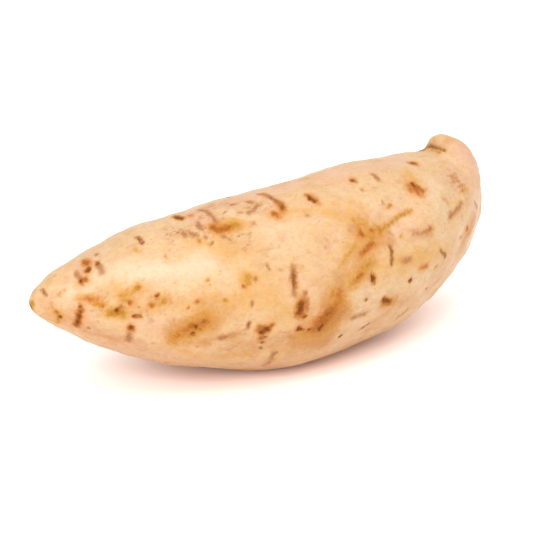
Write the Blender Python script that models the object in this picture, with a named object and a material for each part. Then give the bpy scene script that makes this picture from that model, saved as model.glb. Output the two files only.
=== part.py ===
"""A whole purple-fleshed sweet potato with pale tan skin, lying on its belly.

The root grew as one piece, so it is one closed solid. X runs along it from the pointed tail to
the blunt crown, -Y is its better side, Z is up, and it rests on a small flat foot at z = 0 with
the origin at the middle of its footprint. Sizes in the tables are millimetres or shares of the
driving sizes. Angles go around the root from its top (0) over the -Y side (90) to the foot (180).
"""

import math
from typing import NamedTuple

import bmesh
import bpy
import numpy as np
from mathutils import Vector

MM = 0.001

# Driving sizes, in millimetres
LENGTH = 199.0
GIRTH = 70.0
BOW = 11.5
BELLY_HEIGHT = 35.0
FOOT_SINK = 1.4

# How many squares the surface has: across an end cap, and along the side between the caps
CAP_SQUARES = 16
SIDE_SQUARES = 50
CAP_SHARE = 0.115
CURVE_SAMPLES = 1600

SKIN_COLOUR = (0.83, 0.60, 0.38, 1.0)
SKIN_ROUGHNESS = 0.5


class Station(NamedTuple):
    """One cross-section: its place along the root and its size, as shares of the driving sizes.

    at is the share of LENGTH from the tail, thick the share of GIRTH, aside the share of BOW
    towards +Y, and lift the height of the middle over BELLY_HEIGHT in millimetres.
    """

    at: float
    thick: float
    aside: float
    lift: float


STATIONS = (
    Station(0.000, 0.00, 0.95, 4.6),
    Station(0.026, 0.215, 0.96, 4.3),
    Station(0.052, 0.315, 0.96, 3.9),
    Station(0.083, 0.42, 0.94, 3.3),
    Station(0.144, 0.60, 0.87, 2.2),
    Station(0.214, 0.745, 0.75, 1.5),
    Station(0.282, 0.845, 0.56, 0.9),
    Station(0.354, 0.925, 0.36, 0.5),
    Station(0.423, 0.98, 0.15, 0.4),
    Station(0.498, 1.015, 0.02, 0.5),
    Station(0.582, 1.02, 0.14, 1.5),
    Station(0.667, 1.005, 0.34, 3.1),
    Station(0.754, 0.93, 0.60, 5.6),
    Station(0.837, 0.80, 0.95, 8.2),
    Station(0.915, 0.645, 1.32, 11.6),
    Station(0.965, 0.455, 1.50, 14.0),
    Station(1.000, 0.00, 1.58, 15.2),
)


class Lobe(NamedTuple):
    """A long swelling that runs the length of the root: how many go around, how high, and its turn."""

    count: int
    share: float
    phase_deg: float
    twist_deg: float


LOBES = (
    Lobe(2, 0.018, 62.0, 30.0),
    Lobe(3, 0.018, 20.0, 70.0),
    Lobe(5, 0.011, 75.0, -60.0),
)


class Hollow(NamedTuple):
    """A shallow round dip, such as an eye that a side root grew from. Radius and depth are in mm."""

    at: float
    around_deg: float
    radius: float
    depth: float


HOLLOWS = (
    Hollow(0.865, 45.0, 7.0, 0.9),
    Hollow(0.395, 118.0, 9.0, 0.8),
    Hollow(0.600, 128.0, 8.0, 0.8),
    Hollow(0.445, 22.0, 8.0, 0.8),
    Hollow(0.215, 72.0, 7.0, 0.6),
    Hollow(0.590, 12.0, 7.0, 0.7),
    Hollow(0.300, 300.0, 9.0, 1.0),
    Hollow(0.520, 262.0, 9.0, 1.1),
    Hollow(0.700, 318.0, 8.0, 1.0),
    Hollow(0.830, 268.0, 8.0, 0.9),
    Hollow(0.180, 215.0, 7.0, 0.7),
    Hollow(0.760, 165.0, 9.0, 0.9),
    Hollow(0.655, 228.0, 8.0, 0.9),
)


class Furrow(NamedTuple):
    """A soft groove through some (at, around) points, with its half-width and depth in mm."""

    route: tuple
    half_width: float
    depth: float


FURROWS = (
    Furrow(((0.76, 46), (0.70, 51), (0.65, 56), (0.61, 63), (0.57, 70), (0.52, 79)), 6.5, 1.4),
    Furrow(((0.88, 250), (0.80, 262), (0.72, 285), (0.64, 300)), 6.0, 1.2),
    Furrow(((0.22, 245), (0.30, 255), (0.40, 258)), 6.0, 0.9),
)

# The crown: the short neck where the vine grew, bent up out of the blunt end
CROWN_AT = 0.953
CROWN_AROUND_DEG = 8.0
CROWN_DIRECTION = (0.26, 0.16, 0.95)
CROWN_RADIUS = 11.5
CROWN_HEIGHT = 6.5
CROWN_CREASE_DEPTH = 1.1
CROWN_CREASE_WIDTH = 2.6


def spline(knots, values, where):
    """Natural cubic spline through the knots, read at the places in where."""
    knots = np.asarray(knots, float)
    values = np.asarray(values, float)
    step = np.diff(knots)
    slope = np.diff(values) / step
    count = len(knots)
    system = np.eye(count)
    right = np.zeros(count)
    for i in range(1, count - 1):
        system[i, i - 1 : i + 2] = step[i - 1], 2 * (step[i - 1] + step[i]), step[i]
        right[i] = 6 * (slope[i] - slope[i - 1])
    bend = np.linalg.solve(system, right)
    i = np.clip(np.searchsorted(knots, where) - 1, 0, count - 2)
    a, b = where - knots[i], knots[i + 1] - where
    h = step[i]
    return (
        (bend[i] * b**3 + bend[i + 1] * a**3) / (6 * h)
        + (values[i] / h - bend[i] * h / 6) * b
        + (values[i + 1] / h - bend[i + 1] * h / 6) * a
    )


class Body:
    """The plain body: its middle line and its thickness at any share of the length."""

    def __init__(self):
        self.at = np.linspace(0, 1, CURVE_SAMPLES)
        knots = [s.at for s in STATIONS]
        # The thickness is splined as its square, which keeps both ends round.
        squares = spline(knots, [s.thick**2 for s in STATIONS], self.at)
        self.radius = GIRTH / 2 * np.sqrt(np.clip(squares, 0, None))
        aside = spline(knots, [s.aside for s in STATIONS], self.at) * BOW
        lift = spline(knots, [s.lift for s in STATIONS], self.at)
        along = (self.at - 0.5) * LENGTH
        self.middle = np.stack([along, aside, lift + BELLY_HEIGHT], 1)
        run = np.hypot(np.diff(along), np.diff(self.radius))
        self.run = np.concatenate([[0], np.cumsum(run)]) / run.sum()

    def at_run(self, run):
        """The share of the length that lies at this share of the way over the surface."""
        return float(np.interp(run, self.run, self.at))

    def frame(self, at):
        """The middle point, thickness, and the two directions across the root at that share."""
        middle = Vector([float(np.interp(at, self.at, self.middle[:, k])) for k in range(3)])
        near = 0.03
        low, high = max(0.0, at - near), min(1.0, at + near)
        ends = [
            Vector([float(np.interp(a, self.at, self.middle[:, k])) for k in range(3)])
            for a in (low, high)
        ]
        forward = (ends[1] - ends[0]).normalized()
        side = forward.cross(Vector((0, 0, 1))).normalized()
        up = side.cross(forward)
        return middle, float(np.interp(at, self.at, self.radius)), side, up

    def point(self, at, around_deg):
        """The point of the lobed body at that share of the length and angle around it."""
        middle, radius, side, up = self.frame(at)
        angle = math.radians(around_deg)
        swell = 1.0
        for lobe in LOBES:
            turn = math.radians(lobe.phase_deg + lobe.twist_deg * at)
            swell += lobe.share * math.cos(lobe.count * angle - turn)
        return middle + radius * swell * (math.cos(angle) * up + math.sin(angle) * side)


def box_lattice():
    """The surface squares of a long box, whose ends become the round caps.

    Returns:
        The lattice points (i, j, k), and the faces as lists of indices into them.
    """
    size = (SIDE_SQUARES, CAP_SQUARES, CAP_SQUARES)
    index = {}
    faces = []

    def corner(*ijk):
        return index.setdefault(ijk, len(index))

    for axis in range(3):
        one, two = [k for k in range(3) if k != axis]
        for level in (0, size[axis]):
            for i in range(size[one]):
                for j in range(size[two]):
                    face = []
                    for di, dj in ((0, 0), (1, 0), (1, 1), (0, 1)):
                        ijk = [0, 0, 0]
                        ijk[axis], ijk[one], ijk[two] = level, i + di, j + dj
                        face.append(corner(*ijk))
                    faces.append(face)
    return list(index), faces


def on_round(i, j, k):
    """Where a lattice point lies: the share of the way over the surface, and the angle around.

    A square drawn around the root's middle line is bowed out to a disc, evenly and with no pole.
    """
    a = 2 * j / CAP_SQUARES - 1
    b = 2 * k / CAP_SQUARES - 1
    high = a * math.sqrt(1 - b * b / 2)
    wide = b * math.sqrt(1 - a * a / 2)
    out = math.hypot(high, wide)
    around = math.degrees(math.atan2(wide, high))
    if i == 0:
        run = CAP_SHARE * out
    elif i == SIDE_SQUARES:
        run = 1 - CAP_SHARE * out
    else:
        run = CAP_SHARE + (1 - 2 * CAP_SHARE) * i / SIDE_SQUARES
    return run, around


def fall(distance, reach):
    """A bell that is 1 at no distance and about nothing at twice the reach."""
    return math.exp(-((distance / reach) ** 2) * 1.5)


def sink_hollows(bm, body):
    """Presses the eyes into the surface."""
    for hollow in HOLLOWS:
        centre = body.point(hollow.at, hollow.around_deg)
        for vert in bm.verts:
            depth = hollow.depth * fall((vert.co - centre).length, hollow.radius)
            vert.co -= vert.normal * depth


def sink_furrows(bm, body):
    """Draws the soft grooves along their routes."""
    for furrow in FURROWS:
        line = [body.point(at, around) for at, around in furrow.route]
        for vert in bm.verts:
            nearest, share = furrow_distance(vert.co, line)
            fade = math.sin(math.pi * min(max(share, 0.0), 1.0)) ** 0.5
            vert.co -= vert.normal * furrow.depth * fade * fall(nearest, furrow.half_width)


def furrow_distance(point, line):
    """The distance from a point to a line of points, and the share of the line at its nearest."""
    nearest, share = math.inf, 0.0
    for k, (start, end) in enumerate(zip(line, line[1:])):
        span = end - start
        t = min(max((point - start).dot(span) / span.length_squared, 0.0), 1.0)
        distance = (point - start - span * t).length
        if distance < nearest:
            nearest, share = distance, (k + t) / (len(line) - 1)
    return nearest, share


def raise_crown(bm, body):
    """Pushes the neck's stub out of the blunt end and folds the skin in front of it."""
    centre = body.point(CROWN_AT, CROWN_AROUND_DEG)
    out = Vector(CROWN_DIRECTION).normalized()
    back = Vector((-1, 0, 0))
    for vert in bm.verts:
        offset = vert.co - centre
        flat = offset - out * offset.dot(out)
        depth_below = max(0.0, -offset.dot(out) - CROWN_RADIUS)
        ahead = flat.dot(back)
        reach = flat.length / CROWN_RADIUS
        plateau = 1 / (1 + (reach * 1.15) ** (6 if ahead > 0 else 4))
        fade = fall(depth_below, CROWN_RADIUS)
        crease = fall(abs(flat.length - CROWN_RADIUS * 1.05), CROWN_CREASE_WIDTH)
        facing = max(0.0, ahead / max(flat.length, 1e-6))
        lift = CROWN_HEIGHT * plateau - CROWN_CREASE_DEPTH * crease * facing
        vert.co += out * lift * fade


def set_on_foot(bm):
    """Lowers the root until its foot is flat, and centres its footprint on the origin."""
    lowest = min(v.co.z for v in bm.verts)
    for vert in bm.verts:
        vert.co.z = max(0.0, vert.co.z - lowest - FOOT_SINK)
    for axis in (0, 1):
        places = [v.co[axis] for v in bm.verts]
        middle = (min(places) + max(places)) / 2
        for vert in bm.verts:
            vert.co[axis] -= middle


def make_root():
    """Builds the root's closed mesh, in metres."""
    body = Body()
    lattice, faces = box_lattice()
    bm = bmesh.new()
    for ijk in lattice:
        run, around = on_round(*ijk)
        bm.verts.new(body.point(body.at_run(run), around))
    bm.verts.ensure_lookup_table()
    for face in faces:
        bm.faces.new([bm.verts[v] for v in face])
    bmesh.ops.recalc_face_normals(bm, faces=bm.faces)
    bm.normal_update()
    sink_furrows(bm, body)
    sink_hollows(bm, body)
    raise_crown(bm, body)
    set_on_foot(bm)
    bmesh.ops.scale(bm, vec=(MM, MM, MM), verts=bm.verts)
    bmesh.ops.recalc_face_normals(bm, faces=bm.faces)
    mesh = bpy.data.meshes.new("sweet_potato")
    bm.to_mesh(mesh)
    bm.free()
    mesh.shade_smooth()
    return mesh


def skin_material():
    """Pale tan skin, dull to satin."""
    material = bpy.data.materials.new("tan_skin")
    material.use_nodes = True
    shader = material.node_tree.nodes["Principled BSDF"]
    shader.inputs["Base Color"].default_value = SKIN_COLOUR
    shader.inputs["Roughness"].default_value = SKIN_ROUGHNESS
    shader.inputs["Metallic"].default_value = 0.0
    return material


def main():
    """Clears the scene and makes the root as one object."""
    for old in list(bpy.data.objects):
        bpy.data.objects.remove(old)
    mesh = make_root()
    mesh.materials.append(skin_material())
    root = bpy.data.objects.new("sweet_potato", mesh)
    bpy.context.scene.collection.objects.link(root)


main()
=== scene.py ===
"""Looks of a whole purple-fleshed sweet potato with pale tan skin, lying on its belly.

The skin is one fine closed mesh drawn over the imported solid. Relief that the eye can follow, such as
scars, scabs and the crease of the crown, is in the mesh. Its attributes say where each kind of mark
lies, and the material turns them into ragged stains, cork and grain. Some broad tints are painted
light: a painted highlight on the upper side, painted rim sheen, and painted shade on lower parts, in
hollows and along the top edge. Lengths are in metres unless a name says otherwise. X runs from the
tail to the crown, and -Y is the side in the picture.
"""

import logging
import math
from collections.abc import Callable
from dataclasses import dataclass
from enum import Enum

import bpy
import numpy as np
from mathutils import Matrix, Vector, noise
from mathutils.bvhtree import BVHTree


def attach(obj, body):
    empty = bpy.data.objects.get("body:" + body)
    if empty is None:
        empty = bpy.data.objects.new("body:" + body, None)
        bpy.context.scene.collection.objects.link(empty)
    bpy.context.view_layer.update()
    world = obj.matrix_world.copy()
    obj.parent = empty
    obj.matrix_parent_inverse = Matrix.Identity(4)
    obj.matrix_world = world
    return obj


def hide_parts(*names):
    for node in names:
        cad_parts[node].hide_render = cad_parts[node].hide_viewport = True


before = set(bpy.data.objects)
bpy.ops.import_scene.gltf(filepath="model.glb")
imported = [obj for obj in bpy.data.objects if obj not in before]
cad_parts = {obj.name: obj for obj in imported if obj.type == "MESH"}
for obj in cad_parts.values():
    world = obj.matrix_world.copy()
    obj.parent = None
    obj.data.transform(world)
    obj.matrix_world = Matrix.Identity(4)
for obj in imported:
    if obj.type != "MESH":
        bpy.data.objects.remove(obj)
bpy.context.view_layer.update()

NODE = "sweet_potato"
SKIN = "sweet_potato_skin"
MM = 0.001
TINY = 1e-12
ALONG = (1.0, 0.0, 0.0)

# How a mark's blobs vary in size, how steeply they fade, and how far they spread from its line
BLOB_SIZES = (0.62, 1.15)
BLOB_SLOPE = 1.5
BLOB_INSET = 0.75
LEAST_SPREAD = 0.10

log = logging.getLogger(NODE)

Points = np.ndarray
Pixel = tuple[float, float]
Colour = tuple[float, float, float, float]
Socket = bpy.types.NodeSocket
Node = bpy.types.Node


def paint(red: int, green: int, blue: int) -> Colour:
    """Turns a screen colour, in steps of 255, into the linear colour of the sRGB curve.

    Args:
        red: Steps of red.
        green: Steps of green.
        blue: Steps of blue.

    Returns:
        Linear red, green, blue and an alpha of 1.
    """
    shares = [step / 255 for step in (red, green, blue)]
    linear = [s / 12.92 if s <= 0.04045 else ((s + 0.055) / 1.055) ** 2.4 for s in shares]
    return (*linear, 1.0)


def smooth_step(values: np.ndarray, low: float, high: float) -> np.ndarray:
    """Eases values from 0 at low to 1 at high."""
    t = np.clip((values - low) / (high - low), 0.0, 1.0)
    return t * t * (3 - 2 * t)


def cloud(points: Points, wave: float, octaves: int, offset: float) -> np.ndarray:
    """Smooth noise at some points.

    Args:
        points: Places, one row each.
        wave: Length over which the noise changes.
        octaves: How many layers of finer noise are added.
        offset: Moves the pattern, so that two fields differ.

    Returns:
        Values from about -1 to 1.
    """
    shift = Vector((offset, offset * 0.7, -offset))
    return np.array([noise.fractal(Vector(p) + shift, 1.0, 2.0, octaves) for p in points / wave])


def put(name: str, data: bpy.types.ID) -> bpy.types.Object:
    """Adds an object to the scene.

    Args:
        name: Its name.
        data: The mesh, lamp or camera that it shows.

    Returns:
        The object.
    """
    thing = bpy.data.objects.new(name, data)
    bpy.context.scene.collection.objects.link(thing)
    return thing


@dataclass(frozen=True)
class PictureView:
    """The camera of the picture, which also finds where a point of the picture lies on the skin."""

    azimuth_deg: float = -28.0
    elevation_deg: float = 24.0
    lens_mm: float = 120.0
    sensor_mm: float = 36.0
    distance: float = 0.726
    aim: tuple[float, float, float] = (-0.0012, -0.0036, 0.0321)
    nearest: float = 0.01
    picture_px: int = 560
    reach_px: int = 12

    def axes(self) -> tuple[Vector, Vector, Vector]:
        """Works out which way the camera is turned.

        Returns:
            Its right, up and backward directions.
        """
        turn, tilt = math.radians(self.azimuth_deg), math.radians(self.elevation_deg)
        back = Vector((math.sin(turn) * math.cos(tilt), -math.cos(turn) * math.cos(tilt), math.sin(tilt)))
        right = Vector((math.cos(turn), math.sin(turn), 0.0))
        return right, back.cross(right), back

    def place(self) -> Vector:
        """Where the camera stands."""
        return Vector(self.aim) + self.axes()[2] * self.distance

    def make_camera(self) -> None:
        """Adds the camera and makes it the scene's own."""
        camera = bpy.data.cameras.new("picture_camera")
        camera.lens = self.lens_mm
        camera.sensor_width = self.sensor_mm
        camera.clip_start = self.nearest
        holder = put("picture_camera", camera)
        axes = Matrix(self.axes()).transposed()
        holder.matrix_world = Matrix.Translation(self.place()) @ axes.to_4x4()
        bpy.context.scene.camera = holder

    def on_skin(self, pixel: Pixel, skin: BVHTree) -> Vector:
        """The point of the skin that a point of the picture shows.

        Args:
            pixel: Across and down in the picture.
            skin: The surface to find.

        Returns:
            The point. One just outside the outline is moved in until it meets the skin.
        """
        right, up, back = self.axes()
        scale = self.lens_mm / self.sensor_mm * self.picture_px
        middle = self.picture_px / 2
        x, y = pixel
        for _ in range(self.reach_px):
            way = right * ((x - middle) / scale) - up * ((y - middle) / scale) - back
            hit = skin.ray_cast(self.place(), way.normalized())[0]
            if hit is not None:
                return hit
            inward = Vector((middle - x, middle - y)).normalized()
            x, y = x + inward.x, y + inward.y
        raise ValueError(f"picture point {pixel} isn't on the root")


class Kind(Enum):
    """The kinds of mark on the skin. Each has an attribute of its own."""

    # cream is paler skin, and where the tints lay it on the lit upper side it is a painted highlight
    CREAM_AND_HIGHLIGHT = "cream"
    # blush is pinker skin, and along the top edge and the right end's rim it is painted rim sheen
    BLUSH_AND_RIM_SHEEN = "blush"
    VEIL = "veil"
    # shade is browner skin, and where the tints say so it is painted shade
    SHADE_AND_BROWN = "shade"
    SCURF = "scurf"
    STAIN = "stain"
    OCHRE = "ochre"
    SMUDGE = "smudge"
    SCRATCH = "scratch"
    RUST = "rust"
    # the crease's dark line is partly brown mark, partly painted shade in the groove
    CREASE = "crease"
    SCAR = "scar"
    PIT = "pit"


# Broad zones with soft edges
ZONES = (Kind.CREAM_AND_HIGHLIGHT, Kind.BLUSH_AND_RIM_SHEEN, Kind.VEIL, Kind.SHADE_AND_BROWN, Kind.SCURF)


@dataclass(frozen=True)
class Mark:
    """One mark: its kind, its width, its strength and the picture points that it runs through."""

    kind: Kind
    width_mm: float
    strength: float
    route_px: tuple[Pixel, ...]


def marker(kind: Kind) -> Callable[..., Mark]:
    """Gives a short way to write the marks of one kind.

    Args:
        kind: The kind of mark.

    Returns:
        A function that takes a mark's width and strength, and then each picture point's X and Y.
    """
    return lambda width_mm, strength, *xy: Mark(kind, width_mm, strength, tuple(zip(xy[::2], xy[1::2])))


cream, blush, veil, shade, scurf, _, ochre, smudge, scratch, rust, crease, scar, pit = map(marker, Kind)

TAIL_MARKS = (
    scar(1.8, 1.0, 80, 306, 80, 308), scar(2.3, 0.95, 79.8, 311.5, 78.4, 318, 77.2, 325),
    rust(2.8, 1.0, 79.5, 311, 77.2, 325.5), rust(3.4, 0.95, 83.5, 259.5, 87, 263.5),
    smudge(2.4, 0.9, 85, 261, 87, 265), scar(3.0, 1.0, 87.9, 268.7),
    scratch(2.4, 1.0, 96.5, 261.5, 98, 265), smudge(2.8, 1.0, 98, 264, 102, 272),
    smudge(2.2, 1.0, 75.5, 272.5, 78.5, 277, 82, 282), smudge(2.4, 0.9, 76, 273, 81, 280),
    scar(2.4, 0.95, 80.8, 280.8), rust(2.6, 0.9, 83, 277.5, 86.5, 281), smudge(2.0, 0.9, 96, 253.5),
    scratch(1.7, 0.85, 42.5, 290.5, 46.5, 295.5), ochre(2.6, 0.9, 33.5, 303.5),
    smudge(2.0, 0.6, 58.5, 292, 59.5, 296), smudge(2.0, 0.6, 50, 303, 54, 309),
    rust(2.4, 0.85, 57, 310.5, 58, 313), scar(1.8, 0.9, 60, 317),
    ochre(2.2, 0.9, 56, 311, 60, 318, 58, 322), rust(3.2, 0.75, 79, 299, 88, 299, 97, 301),
    ochre(3.0, 0.85, 95, 304.5, 104, 305.5), rust(1.6, 0.8, 96, 305), rust(1.8, 0.8, 102.5, 305.5),
    ochre(4.6, 1.0, 110, 313, 118, 311, 122, 315), scar(2.1, 0.95, 117.5, 311),
    scratch(1.5, 0.8, 118, 309, 122.5, 307), rust(2.2, 0.95, 130, 302.5),
    ochre(3.4, 0.75, 122, 299, 128, 302), ochre(3.0, 0.75, 119, 296, 126, 294),
    ochre(2.6, 0.75, 130, 293, 135, 290), rust(1.5, 0.6, 126, 291, 128, 290),
    ochre(3.0, 0.9, 136, 290, 140, 286), rust(1.6, 0.8, 139.5, 287), rust(2.6, 0.95, 157.5, 296),
    scar(1.6, 0.85, 157.5, 296), ochre(2.8, 0.9, 148, 305, 154, 304), rust(2.0, 0.9, 152, 305),
    ochre(2.4, 0.85, 161, 303, 166, 300), rust(1.7, 0.9, 165.6, 301), scar(1.5, 0.9, 134, 315.5, 141, 316),
    scar(2.8, 0.84, 130.2, 326, 130.8, 329.5), rust(3.6, 0.8, 127, 326.5, 134, 327.5),
    smudge(3.0, 0.98, 130, 333, 129, 340.5), smudge(4.2, 0.55, 148, 321, 152, 321),
    scratch(2.0, 0.95, 137.5, 237.5, 142, 243), scratch(2.0, 1.0, 142.3, 243),
    ochre(2.6, 0.6, 134, 249, 139, 251.5), rust(1.9, 0.7, 165.6, 256.3), smudge(2.6, 0.9, 88.5, 327.5),
    smudge(2.0, 0.6, 98, 322), smudge(2.2, 0.6, 153.8, 343), rust(1.6, 0.6, 64, 290),
)

SHOULDER_MARKS = (
    scar(2.5, 1.0, 175.5, 217, 181.5, 218), rust(2.2, 0.6, 188, 215, 192, 216),
    smudge(2.5, 1.0, 199, 210.5, 206, 211, 211, 215, 214.5, 220, 217, 223),
    smudge(2.0, 0.8, 201, 210.6, 205, 211), scar(2.4, 0.6, 211.5, 226, 214, 228, 217, 229.5),
    rust(4.2, 0.95, 212, 227, 219, 230, 226, 229), ochre(4.8, 1.0, 216, 229, 226, 228, 236, 225),
    rust(2.8, 0.9, 226, 228.5, 231, 226.5), smudge(2.2, 0.95, 197, 222, 199.5, 226, 202.5, 228),
    smudge(2.0, 0.85, 176, 232, 180, 231), smudge(2.3, 0.95, 183, 231, 184.5, 235),
    smudge(2.0, 0.95, 189, 231, 193.5, 234, 197, 234), ochre(2.8, 0.9, 198, 240.5),
    smudge(2.0, 0.85, 206, 237), smudge(2.2, 0.95, 210, 243.5, 213.5, 242),
    smudge(2.0, 0.9, 222, 236, 228, 238.5), smudge(2.0, 0.9, 228, 238, 231, 240),
    smudge(2.6, 0.95, 231, 205, 236, 205), smudge(2.2, 0.75, 225, 213),
    smudge(2.2, 0.7, 238, 213, 243, 213), smudge(2.2, 0.9, 247, 202, 252, 203),
    smudge(2.4, 0.95, 248, 213, 253, 210, 258, 205), smudge(2.2, 0.8, 214, 200, 222, 197, 230, 198),
    rust(2.4, 0.6, 258, 194, 264, 195), smudge(2.8, 0.95, 262, 194, 270, 197, 280, 203),
    scratch(1.7, 0.85, 269, 197, 275, 199.6, 280, 203), scar(2.3, 0.8, 281.6, 204.5, 282, 208.5),
    rust(3.4, 0.7, 276, 203, 284, 208, 281, 213), rust(3.4, 0.9, 273, 213, 278, 217),
    rust(1.8, 0.7, 280.6, 218), scar(2.2, 1.0, 308, 196.5, 311, 199.5, 314, 201.5),
    rust(3.4, 0.75, 309, 196, 317, 203), smudge(2.2, 0.8, 306.9, 215.6),
    smudge(1.5, 0.7, 249, 222, 253.8, 223.8, 256, 225), scratch(1.6, 0.75, 267, 265.5, 269.5, 269),
    smudge(1.4, 0.6, 277, 270, 284, 270), smudge(2.9, 0.92, 293.6, 267, 293.8, 280, 294.4, 294.5),
    scratch(1.8, 0.84, 293.8, 271, 293.8, 289), scratch(2.7, 0.98, 293.8, 274, 294, 282),
    rust(1.5, 0.5, 299, 268, 303, 268), ochre(5.0, 0.74, 246, 275, 248, 279, 250, 284),
    smudge(2.4, 0.85, 256, 278.5, 255, 282), rust(2.2, 0.9, 243, 286.5, 246, 287),
    ochre(2.6, 0.75, 207.5, 280), smudge(1.8, 0.8, 326, 247), smudge(2.0, 0.6, 323.8, 237.5, 327, 239),
    smudge(1.3, 0.5, 257, 251, 268, 249, 280, 246), ochre(2.4, 0.85, 224, 300, 226.5, 301.5),
)

BELLY_MARKS = (
    ochre(9.0, 0.8, 174, 338, 186, 334, 196, 327, 206, 320), ochre(5.0, 0.7, 186, 322, 196, 315, 207, 314),
    rust(5.5, 0.74, 184, 330, 195, 326, 205, 320), rust(4.5, 1.0, 192, 326, 197, 326),
    rust(3.4, 0.7, 174, 339, 180, 332), scar(2.6, 0.97, 194.5, 324.5, 197, 327.5),
    scar(2.4, 0.97, 192, 331.5, 193.5, 334), scar(2.2, 0.66, 200, 322.5, 206, 321),
    scar(1.6, 0.7, 200, 329.5), scar(1.8, 0.66, 188.5, 327), scar(2.2, 0.62, 182.5, 330),
    pit(1.2, 0.6, 197, 318.5), rust(1.9, 0.8, 197.5, 301), rust(1.8, 0.7, 188, 307),
    ochre(2.6, 0.7, 224.5, 304), smudge(5.8, 0.92, 219.5, 338, 228, 337),
    smudge(1.6, 0.74, 229, 335, 240, 333, 247, 329), scratch(1.8, 0.95, 249.5, 323, 248, 327.5),
    smudge(1.9, 0.92, 252.6, 302.5, 251.6, 306), scar(5.6, 1.0, 260.5, 329.3, 267.5, 329.3),
    rust(3.8, 0.9, 259.5, 328.8, 268, 329.2), rust(2.2, 1.0, 267, 328.6, 272.5, 325),
    rust(3.4, 0.74, 263, 332, 261.5, 340), pit(1.8, 0.78, 260.5, 337.5), pit(1.4, 0.74, 265.8, 336.5),
    pit(1.4, 0.7, 262.5, 342), pit(1.8, 0.72, 260.6, 348),
    smudge(3.8, 0.74, 275, 352.5, 271, 358, 265, 364.5), smudge(2.8, 0.9, 275, 352, 271.8, 356.5),
    smudge(2.4, 1.0, 305.2, 291, 305.2, 296), smudge(2.6, 1.0, 305.5, 299, 307.5, 304, 307, 310),
    scar(3.2, 1.0, 301.6, 303, 301, 308.5, 298.8, 313.5), scar(2.2, 0.95, 304.6, 317),
    rust(4.4, 0.95, 302, 302.5, 300, 310, 299.5, 315), rust(3.0, 0.85, 301, 315, 305, 317),
    rust(2.4, 0.66, 306, 300, 305.5, 305), scar(3.4, 1.0, 299.2, 328.6, 302, 329.8),
    scar(1.8, 0.9, 309.8, 330), rust(6.0, 0.9, 314, 330.5, 322, 327.5),
    rust(7.5, 1.0, 319, 325, 326, 318, 331, 312), rust(5.0, 0.8, 332, 309, 338, 301, 340, 291),
    scar(3.0, 0.76, 326.5, 316.5, 331, 312.5), scar(2.8, 0.62, 320.5, 322.5, 323.5, 320.5),
    scar(4.4, 0.88, 318, 329.5, 322, 327), smudge(7.0, 0.8, 318, 330, 325, 324, 330, 314),
    ochre(9.0, 0.85, 308, 334, 322, 331, 335, 320, 341, 302), smudge(5.0, 0.66, 336, 318, 344, 310),
    ochre(3.4, 0.8, 333, 290, 331, 298), smudge(1.4, 0.7, 280, 333, 290, 333),
    smudge(1.8, 0.7, 295, 338, 294, 342), rust(1.7, 0.7, 197, 346), ochre(2.6, 0.6, 165.5, 362),
    ochre(3.2, 0.55, 244, 352, 252, 356),
)

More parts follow.
